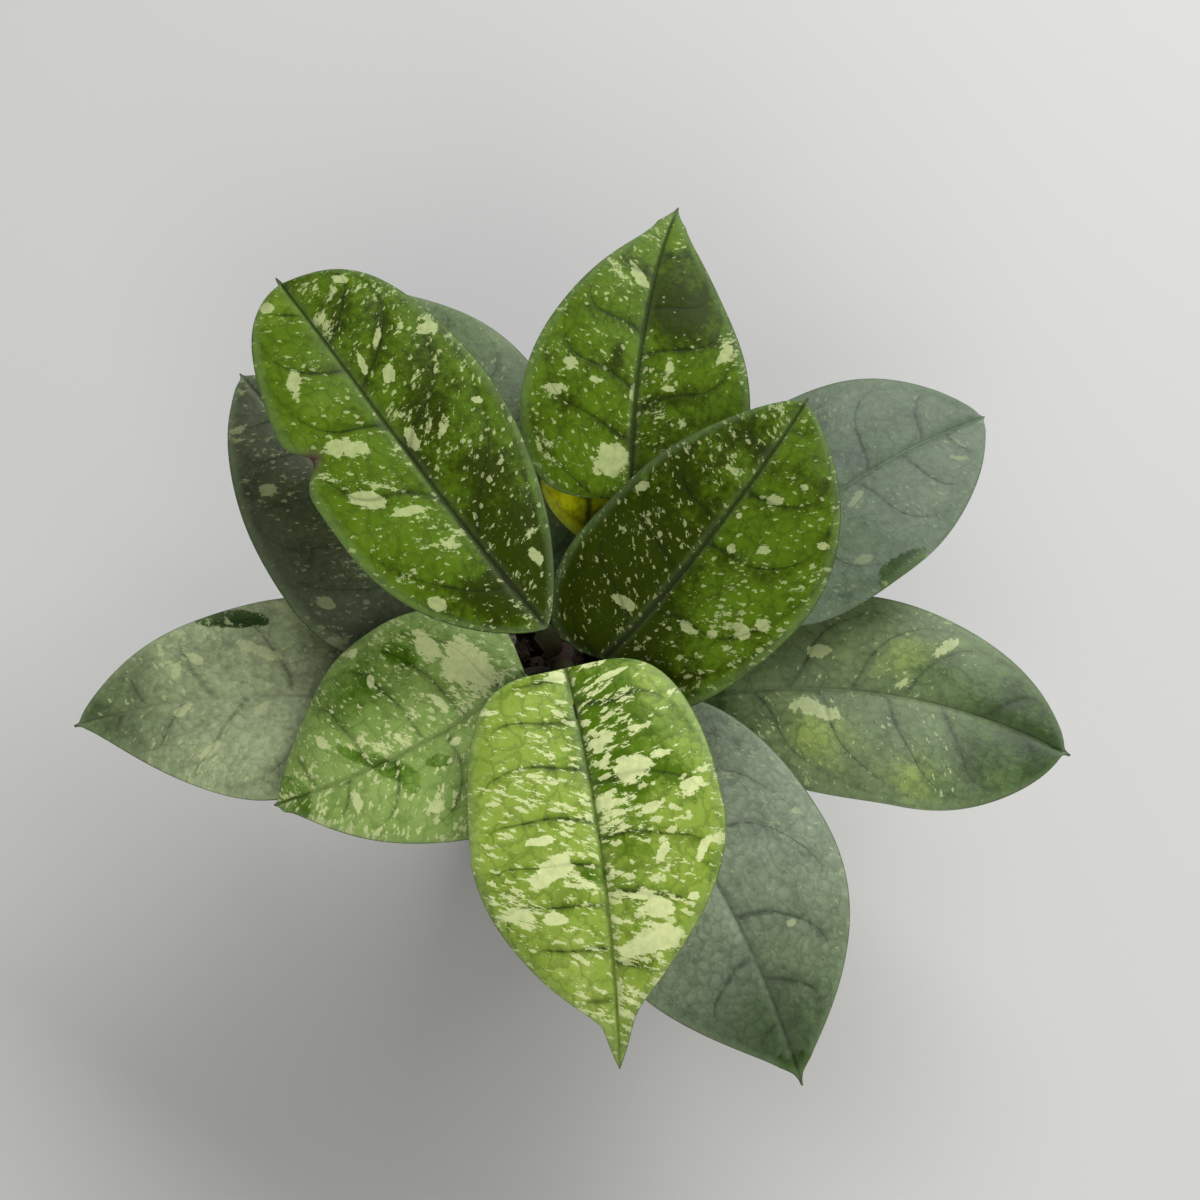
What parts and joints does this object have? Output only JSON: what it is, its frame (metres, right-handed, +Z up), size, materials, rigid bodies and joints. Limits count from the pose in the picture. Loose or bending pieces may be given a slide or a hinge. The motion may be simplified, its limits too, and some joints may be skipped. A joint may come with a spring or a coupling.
{
  "type": "potted plant",
  "caption": "Compact potted hoya with thick petioles and broad pointed leaves, dark green and splashed with cream, in a plain round nursery pot.",
  "frame": {"origin": "middle of the pot's flat underside", "axes": "+Z up, -Y towards the side that the picture was taken from, +X to that view's right"},
  "size_m": [0.2453, 0.2157, 0.1441],
  "materials": {
    "leaf_green": "satin",
    "leaf_light": "satin",
    "leaf_grey": "satin",
    "leaf_new": "satin",
    "stem": "satin",
    "bark_mix": "matte",
    "pot_plastic": "matte"
  },
  "bodies": {
    "root": {"pot": "pot_plastic", "potting_mix": "bark_mix", "stem_front": "stem", "stem_back": "stem", "leaf_upper_left": "leaf_green", "leaf_back": "leaf_green", "leaf_upper_right": "leaf_green", "leaf_front": "leaf_light", "leaf_front_left": "leaf_light", "leaf_left": "leaf_grey", "leaf_low_left": "leaf_grey", "leaf_back_left": "leaf_grey", "leaf_back_right": "leaf_grey", "leaf_right": "leaf_grey", "leaf_front_right": "leaf_grey", "leaf_young": "leaf_new"}
  },
  "joints": []
}
